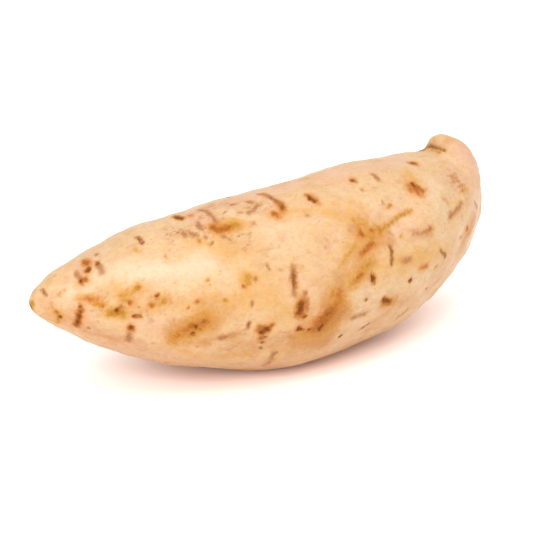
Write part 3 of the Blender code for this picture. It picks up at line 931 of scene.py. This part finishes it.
class Net:
    """A node tree, with short ways to add the nodes that the finishes need."""

    def __init__(self, tree: bpy.types.NodeTree) -> None:
        """Takes the tree that gets the nodes."""
        self.tree = tree

    def new(self, kind: str) -> Node:
        """Adds a shader node of a kind."""
        return self.tree.nodes.new("ShaderNode" + kind)

    def feed(self, node: Node, feeds: dict[str, Socket | Colour | float]) -> None:
        """Gives a node's inputs their values.

        Args:
            node: The node.
            feeds: For each input's name or identifier, a value, or the socket that it comes from.
        """
        for name, value in feeds.items():
            socket = next(s for s in node.inputs if name in (s.identifier, s.name))
            if isinstance(value, Socket):
                self.tree.links.new(value, socket)
            else:
                socket.default_value = value

    def group(self, group: bpy.types.NodeTree, feeds: dict[str, Socket | float]) -> Node:
        """Adds a shared node group.

        Args:
            group: The group.
            feeds: The values or sockets of its inputs, by name.

        Returns:
            Its node.
        """
        node = self.new("Group")
        node.node_tree = group
        self.feed(node, feeds)
        return node

    def place(self) -> Socket:
        """The place on the object."""
        return self.new("TexCoord").outputs["Object"]

    def math(self, operation: str, one: Socket | float, two: Socket | float) -> Socket:
        """Adds a Math node.

        Args:
            operation: What it does, in Blender's word.
            one: Its first value.
            two: Its second value.

        Returns:
            Its result.
        """
        node = self.new("Math")
        node.operation = operation
        self.feed(node, {"Value": one, "Value_001": two})
        return node.outputs[0]

    def times(self, one: Socket | float, two: Socket | float) -> Socket:
        """Multiplies two values."""
        return self.math("MULTIPLY", one, two)

    def ease(self, value: Socket, low: Socket | float, high: Socket | float, top: float = 1.0) -> Socket:
        """Eases a value between two limits.

        Args:
            value: The value.
            low: Where the result is 0.
            high: Where the result is highest.
            top: The highest result.

        Returns:
            The result.
        """
        node = self.new("MapRange")
        node.interpolation_type = "SMOOTHSTEP"
        self.feed(node, {"Value": value, "From Min": low, "From Max": high, "To Max": top})
        return node.outputs["Result"]

    def mix(self, share: Socket, one: Socket | Colour, two: Socket | Colour) -> Socket:
        """Mixes two colours.

        Args:
            share: How much of the second there is, from 0 to 1.
            one: The first colour.
            two: The second colour.

        Returns:
            The mixed colour.
        """
        node = self.new("Mix")
        node.data_type = "RGBA"
        self.feed(node, {"Factor": share, "A_Color": one, "B_Color": two})
        return next(s for s in node.outputs if s.identifier == "Result_Color")


@dataclass(frozen=True)
class Patches:
    """Patches on the skin: a noise, drawn out along the root, that is eased from 0 at low to top at high."""

    wave_mm: float
    detail: float
    stretch: float
    offset: float
    low: float = 0.0
    high: float = 1.0
    top: float = 1.0

    def noise(self, net: Net) -> Socket:
        """Adds the noise to a material.

        Args:
            net: The material's nodes.

        Returns:
            Its value, from 0 to 1.
        """
        mapping = net.new("Mapping")
        scale = (1 / self.stretch, 1.0, 1.0)
        net.feed(mapping, {"Vector": net.place(), "Location": (self.offset,) * 3, "Scale": scale})
        texture = net.new("TexNoise")
        vector = mapping.outputs["Vector"]
        net.feed(texture, {"Vector": vector, "Scale": 1 / (self.wave_mm * MM), "Detail": self.detail})
        return texture.outputs["Fac"]

    def mask(self, net: Net) -> Socket:
        """Adds the patches to a material and gives their mask."""
        return net.ease(self.noise(net), self.low, self.high, self.top)


# A mark's core has finer grain than its mask, and starts farther in
CORE_GRAIN, CORE_STEP = 1.7, 0.35
MARK_DETAIL, MARK_GRAIN = 3.0, 0.55

# Dots are uneven, and fade from their radius in to their core
DOT_GRAIN, DOT_DETAIL, DOT_WOBBLE, DOT_CORE = 2.2, 2.0, 0.22, 0.35

NOISE_MIDDLE = 0.5


def new_group(name: str, takes: tuple[str, ...], gives: tuple[str, ...]) -> tuple[Net, Node, Node]:
    """Begins a shared node group.

    Args:
        name: Its name.
        takes: Its inputs' names.
        gives: Its outputs' names.

    Returns:
        Its tree, the node that holds its inputs, and the node that takes its outputs.
    """
    tree = bpy.data.node_groups.new(name, "ShaderNodeTree")
    for way, titles in (("INPUT", takes), ("OUTPUT", gives)):
        for title in titles:
            tree.interface.new_socket(title, in_out=way, socket_type="NodeSocketFloat")
    return Net(tree), tree.nodes.new("NodeGroupInput"), tree.nodes.new("NodeGroupOutput")


def ragged_mark_group() -> bpy.types.NodeTree:
    """The shared node group that turns a mark's field into a ragged mask and a darker core.

    Returns:
        The group. Its inputs are the field, the grain's scale, the raggedness, the threshold and
        the softness.
    """
    takes = ("Field", "Grain Scale", "Raggedness", "Threshold", "Softness")
    net, given, result = new_group("ragged_mark", takes, ("Mask", "Core"))
    field, scale, raggedness, threshold, softness = (given.outputs[name] for name in takes)
    place = net.place()
    finer, further = net.times(scale, CORE_GRAIN), net.math("ADD", threshold, CORE_STEP)
    for name, grain_scale, edge in (("Mask", scale, threshold), ("Core", finer, further)):
        grain = net.new("TexNoise")
        feeds = {"Vector": place, "Scale": grain_scale, "Detail": MARK_DETAIL, "Roughness": MARK_GRAIN}
        net.feed(grain, feeds)
        pushed = net.times(net.math("SUBTRACT", grain.outputs["Fac"], NOISE_MIDDLE), raggedness)
        ragged = net.math("ADD", field, pushed)
        low, high = net.math("SUBTRACT", edge, softness), net.math("ADD", edge, softness)
        net.feed(result, {name: net.ease(ragged, low, high)})
    return net.tree


def dots_group() -> bpy.types.NodeTree:
    """The shared node group that puts small round dots here and there.

    Returns:
        The group. Its inputs are the scale of the cells that may hold a dot, the dot's radius as a
        share of its cell, and the share of cells that stay empty.
    """
    takes = ("Cell Scale", "Radius", "Empty")
    net, given, result = new_group("dots", takes, ("Mask",))
    scale, radius, empty = (given.outputs[name] for name in takes)
    place = net.place()
    wobble, cells, chance, chosen = map(net.new, ("TexNoise", "TexVoronoi", "SeparateColor", "MapRange"))
    net.feed(wobble, {"Vector": place, "Scale": net.times(scale, DOT_GRAIN), "Detail": DOT_DETAIL})
    net.feed(cells, {"Vector": place, "Scale": scale})
    uneven = net.times(net.math("SUBTRACT", wobble.outputs["Fac"], NOISE_MIDDLE), DOT_WOBBLE)
    away = net.math("ADD", cells.outputs["Distance"], uneven)
    dot = net.ease(away, radius, net.times(radius, DOT_CORE))
    net.feed(chance, {"Color": cells.outputs["Color"]})
    net.feed(chosen, {"Value": chance.outputs["Red"], "From Min": empty})
    net.feed(result, {"Mask": net.times(dot, chosen.outputs["Result"])})
    return net.tree


class SkinNet(Net):
    """The skin's node tree, with the two effects that its marks share."""

    def __init__(self, tree: bpy.types.NodeTree) -> None:
        """Takes the tree, and makes the shared effects."""
        super().__init__(tree)
        self.ragged, self.dotted = ragged_mark_group(), dots_group()

    def dots(self, cell_mm: float, radius: float, empty: float) -> Socket:
        """Adds dots, by their cells' size, their share of a cell and the share of empty cells."""
        feeds = {"Cell Scale": 1 / (cell_mm * MM), "Radius": radius, "Empty": empty}
        return self.group(self.dotted, feeds).outputs["Mask"]


@dataclass(frozen=True)
class Look:
    """How a kind of mark looks: its colours, and how ragged, soft, strong and rough it is."""

    kind: Kind
    edge: Colour
    core: Colour
    raggedness: float
    grain_mm: float
    threshold: float
    softness: float
    opacity: float
    roughness: float
    bump: float = 0.0
    wax: float = 0.0

    def masks(self, net: SkinNet) -> tuple[Socket, Socket]:
        """Adds the ragged mask of this kind of mark.

        Args:
            net: The material's nodes.

        Returns:
            The mask and the core.
        """
        field = net.new("Attribute")
        field.attribute_name = self.kind.value
        ragged = net.group(net.ragged, {
            "Field": field.outputs["Fac"],
            "Grain Scale": 1 / (self.grain_mm * MM),
            "Raggedness": self.raggedness,
            "Threshold": self.threshold,
            "Softness": self.softness,
        })
        return ragged.outputs["Mask"], ragged.outputs["Core"]


LOOKS = (
    # The cream, blush and shade looks also carry painted light: a painted highlight, painted rim sheen and
    # painted shade where the tints lay them
    Look(Kind.CREAM_AND_HIGHLIGHT, paint(187, 160, 126), paint(193, 170, 142), 1.0, 4.0, 0.2, 0.9, 0.75, 0.42, wax=1.0),
    Look(Kind.BLUSH_AND_RIM_SHEEN, paint(185, 144, 115), paint(188, 145, 122), 1.0, 3.5, 0.25, 0.85, 0.7, 0.52, wax=0.8),
    Look(Kind.VEIL, paint(184, 139, 80), paint(178, 128, 58), 1.8, 2.4, 0.20, 0.85, 0.85, 0.52, wax=0.7),
    Look(Kind.SHADE_AND_BROWN, paint(172, 120, 68), paint(160, 102, 48), 1.8, 2.8, 0.20, 0.85, 0.75, 0.55, wax=0.5),
    Look(Kind.STAIN, paint(180, 124, 68), paint(164, 100, 42), 1.3, 1.8, -0.1, 0.8, 0.66, 0.55, wax=0.5),
    Look(Kind.OCHRE, paint(178, 130, 60), paint(144, 96, 20), 1.6, 1.4, 0.02, 0.72, 0.88, 0.62, -0.2),
    Look(Kind.SMUDGE, paint(166, 116, 76), paint(136, 86, 50), 1.4, 1.4, 0.00, 0.75, 0.84, 0.60, -0.2),
    Look(Kind.RUST, paint(172, 106, 44), paint(132, 68, 12), 1.5, 1.4, 0.05, 0.70, 0.90, 0.68, 0.5),
    Look(Kind.SCRATCH, paint(156, 104, 58), paint(112, 62, 20), 1.3, 1.3, -0.10, 0.75, 0.90, 0.62, -0.4),
    # The crease's dark colour is partly painted shade in its groove
    Look(Kind.CREASE, paint(166, 116, 66), paint(112, 66, 26), 0.5, 1.2, 0.10, 0.60, 0.90, 0.62, -0.3),
    Look(Kind.SCAR, paint(152, 92, 34), paint(98, 48, 6), 1.3, 1.2, -0.08, 0.68, 0.96, 0.72, -0.5),
    Look(Kind.PIT, paint(146, 90, 38), paint(94, 48, 8), 0.9, 1.0, -0.25, 0.65, 0.96, 0.70, -0.6),
)


@dataclass(frozen=True)
class SkinFinish:
    """Pale tan skin: cream to tan to peach, with fine grain, pores, scurf and faint veins."""

    tan: Colour = paint(183, 148, 108)
    cream: Colour = paint(187, 157, 120)
    straw: Colour = paint(184, 151, 99)
    peach: Colour = paint(186, 146, 115)
    gold: Colour = paint(181, 138, 90)
    dull: Colour = paint(168, 122, 80)
    vein: Colour = paint(160, 114, 76)
    pore: Colour = paint(146, 98, 58)
    scurf: Colour = paint(150, 103, 69)
    roughness: float = 0.50
    roughness_change: float = 0.22
    specular: float = 0.08
    wax: float = 0.50
    wax_roughness: float = 0.31
    sheen: float = 0.02
    sheen_roughness: float = 0.40
    sheen_tint: Colour = paint(255, 232, 224)
    bump: float = 0.55
    bump_reach: float = 0.12 * MM
    scurf_pattern: float = 0.76
    scurf_film: float = 0.12
    scurf_height: float = 0.4
    pore_strength: float = 0.6
    fine_bumps: float = 0.6
    depth: float = 0.06
    depth_colours: tuple[float, float, float] = (1.0, 0.45, 0.2)
    depth_reach: float = 1.2 * MM
    layers: tuple[tuple[Colour, Patches], ...] = (
        (cream, Patches(34.0, 3.0, 1.6, 0.00, 0.35, 0.68)),
        (peach, Patches(20.0, 3.0, 1.3, 0.31, 0.46, 0.66, 0.80)),
        (gold, Patches(9.0, 4.0, 1.2, 0.77, 0.50, 0.70, 0.50)),
        (cream, Patches(4.0, 4.0, 1.3, 0.61, 0.48, 0.66, 0.75)),
        (straw, Patches(2.6, 4.0, 1.2, 0.97, 0.50, 0.66, 0.75)),
        (peach, Patches(2.1, 4.0, 1.2, 0.71, 0.50, 0.66, 0.65)),
        (dull, Patches(4.2, 5.0, 1.3, 0.41, 0.50, 0.70, 0.40)),
        (gold, Patches(1.5, 4.0, 1.3, 0.53, 0.50, 0.70, 0.48)),
    )

    def material(self) -> bpy.types.Material:
        """Builds the material.

        Returns:
            The finished material.
        """
        skin = bpy.data.materials.new("tan_skin")
        skin.use_nodes = True
        net = SkinNet(skin.node_tree)
        colour = self.base_colour(net)
        satin = net.times(Patches(7.0, 4.0, 1.4, 0.66).noise(net), self.roughness_change)
        rough = net.math("ADD", satin, self.roughness - self.roughness_change / 2)
        height = self.base_height(net)
        wax = Patches(11.0, 4.0, 1.5, 0.29, 0.3, 0.7, self.wax).mask(net)
        for look in LOOKS:
            if look.kind == Kind.STAIN:
                colour, height = self.scurfed(net, colour, height)
            mask, core = look.masks(net)
            strength = net.times(mask, look.opacity)
            colour = net.mix(strength, colour, net.mix(core, look.edge, look.core))
            rougher = net.times(net.math("SUBTRACT", look.roughness, rough), strength)
            rough = net.math("ADD", rough, rougher)
            wax = net.math("SUBTRACT", wax, net.times(strength, (1 - look.wax) * self.wax))
            if look.bump:
                height = net.math("ADD", height, net.times(mask, look.bump))
        grime = Patches(0.9, 3.0, 1.4, 0.83, 0.46, 0.76, 0.20).mask(net)
        bump = net.new("Bump")
        net.feed(bump, {"Strength": self.bump, "Distance": self.bump_reach, "Height": height})
        net.feed(net.tree.nodes["Principled BSDF"], {
            "Base Color": net.mix(grime, colour, self.scurf),
            "Roughness": rough,
            "Coat Weight": net.math("MAXIMUM", wax, 0.0),
            "Normal": bump.outputs["Normal"],
            "Coat Roughness": self.wax_roughness,
            "Specular IOR Level": self.specular,
            "Sheen Weight": self.sheen,
            "Sheen Roughness": self.sheen_roughness,
            "Sheen Tint": self.sheen_tint,
            "Subsurface Weight": self.depth,
            "Subsurface Radius": self.depth_colours,
            "Subsurface Scale": self.depth_reach,
        })
        return skin

    def scurfed(self, net: SkinNet, colour: Socket, height: Socket) -> tuple[Socket, Socket]:
        """Covers the scurfy zones with fine broken squiggles and specks.

        Args:
            net: The material's nodes.
            colour: The colour so far.
            height: The height so far.

        Returns:
            The colour and the height with the scurf.
        """
        zone = Look(Kind.SCURF, self.scurf, self.scurf, 1.6, 4.0, 0.15, 0.5, 1.0, 0.6)
        mask = zone.masks(net)[0]
        blotches = Patches(1.8, 4.0, 1.6, 0.37, 0.53, 0.68, 0.8).mask(net)
        specks = net.dots(2.2, 0.38, 0.45)
        stipple = Patches(1.0, 4.0, 1.2, 0.19, 0.52, 0.72, 0.6).mask(net)
        pattern = net.math("MAXIMUM", net.math("MAXIMUM", blotches, specks), stipple)
        share = net.times(net.math("ADD", net.times(pattern, self.scurf_pattern), self.scurf_film), mask)
        raised = net.math("ADD", height, net.times(share, self.scurf_height))
        return net.mix(share, colour, self.scurf), raised

    def base_colour(self, net: SkinNet) -> Socket:
        """Adds the skin's own colour, under its marks.

        Args:
            net: The material's nodes.

        Returns:
            The colour.
        """
        colour = self.tan
        for paler, patches in self.layers:
            colour = net.mix(patches.mask(net), colour, paler)
        streaks = Patches(1.2, 3.0, 3.0, 0.12, 0.54, 0.74, 0.36).mask(net)
        some = Patches(9.0, 3.0, 1.4, 0.91, 0.42, 0.60).mask(net)
        colour = net.mix(net.times(streaks, some), colour, self.vein)
        pores = net.times(net.dots(2.3, 0.26, 0.55), self.pore_strength)
        return net.mix(pores, colour, self.pore)

    def base_height(self, net: Net) -> Socket:
        """Adds the fine grain: lengthwise streaks and small bumps.

        Args:
            net: The material's nodes.

        Returns:
            Its height.
        """
        streaks = Patches(1.6, 3.0, 3.0, 0.22).noise(net)
        bumps = Patches(0.6, 3.0, 1.5, 0.44).noise(net)
        return net.math("ADD", streaks, net.times(bumps, self.fine_bumps))


@dataclass(frozen=True)
class Softbox:
    """A square studio lamp behind white cloth."""

    name: str
    place: tuple[float, float, float]
    side: float
    power: float
    tint: tuple[float, float, float] = (1.0, 1.0, 1.0)
    aim: tuple[float, float, float] = (0.0, 0.0, 0.03)

    def build(self) -> None:
        """Adds the lamp to the scene."""
        lamp = bpy.data.lights.new(self.name, "AREA")
        lamp.shape = "SQUARE"
        lamp.size = self.side
        lamp.energy = self.power
        lamp.color = self.tint
        holder = put(self.name, lamp)
        way = Vector(self.place) - Vector(self.aim)
        holder.rotation_euler = way.to_track_quat("Z", "Y").to_euler()
        holder.location = self.place


@dataclass(frozen=True)
class Studio:
    """A white table in a white room, lit softly from above. Round the root the table is tinted warm, a
    painted warm bounce light in the root's shadow.
    """

    floor_side: float = 6.0
    floor_drop: float = 0.0001
    floor_roughness: float = 0.9
    floor_specular: float = 0.1
    # Painted warm bounce light: the table's colour round the root, fading to white farther out
    painted_bounce_colour: Colour = (1.0, 0.81, 0.745, 1.0)
    white: Colour = (1.0, 1.0, 1.0, 1.0)
    painted_bounce_reach: tuple[float, float] = (0.02, 0.065)
    painted_bounce_oval: tuple[float, float, float] = (0.5, 1.0, 0.0)
    room_light: float = 0.99
    lamps: tuple[Softbox, ...] = (
        Softbox("key_softbox", (-0.62, -0.42, 0.55), 0.6, 6.4, tint=(0.96, 1.0, 1.04)),
        Softbox("top_softbox", (0.0, 0.0, 1.00), 0.9, 2.6),
        Softbox("side_softbox", (0.62, -0.25, 0.70), 0.6, 3.0),
        Softbox("front_softbox", (0.0, -0.90, 0.18), 0.5, 1.0, aim=(0.0, 0.0, 0.01)),
        Softbox("back_softbox", (0.35, 0.75, 0.60), 0.6, 0.6),
    )

    def table(self) -> bpy.types.Material:
        """Builds the table's material: a painted warm bounce light round the root, and white farther away.

        Returns:
            The finished material.
        """
        finish = bpy.data.materials.new("table_with_painted_bounce")
        finish.use_nodes = True
        net = Net(finish.node_tree)
        oval, distance = net.new("VectorMath"), net.new("VectorMath")
        oval.operation, distance.operation = "MULTIPLY", "LENGTH"
        net.feed(oval, {"Vector": net.place(), "Vector_001": self.painted_bounce_oval})
        net.feed(distance, {"Vector": oval.outputs["Vector"]})
        fade = net.new("MapRange")
        near, far = self.painted_bounce_reach
        net.feed(fade, {"Value": distance.outputs["Value"], "From Min": near, "From Max": far})
        net.feed(net.tree.nodes["Principled BSDF"], {
            "Base Color": net.mix(fade.outputs["Result"], self.painted_bounce_colour, self.white),
            "Roughness": self.floor_roughness,
            "Specular IOR Level": self.floor_specular,
        })
        return finish

    def build(self) -> None:
        """Adds the floor, the room's light and the lamps."""
        half = self.floor_side / 2
        mesh = bpy.data.meshes.new("studio_floor")
        sides = ((-half, -half), (half, -half), (half, half), (-half, half))
        mesh.from_pydata([(x, y, -self.floor_drop) for x, y in sides], [], [(0, 1, 2, 3)])
        mesh.materials.append(self.table())
        floor = put("studio_floor", mesh)
        world = bpy.data.worlds.new("white_room")
        world.use_nodes = True
        room = world.node_tree.nodes["Background"]
        room.inputs["Color"].default_value = self.white
        room.inputs["Strength"].default_value = self.room_light
        bpy.context.scene.world = world
        for lamp in self.lamps:
            lamp.build()
        bpy.context.scene.view_settings.view_transform = "Standard"


def main() -> None:
    """Builds the camera, the studio and the root, in that order."""
    logging.basicConfig(level=logging.INFO, format="%(name)s %(message)s")
    view = PictureView()
    view.make_camera()
    Studio().build()
    SweetPotato(view).build()


if __name__ == "__main__":
    main()
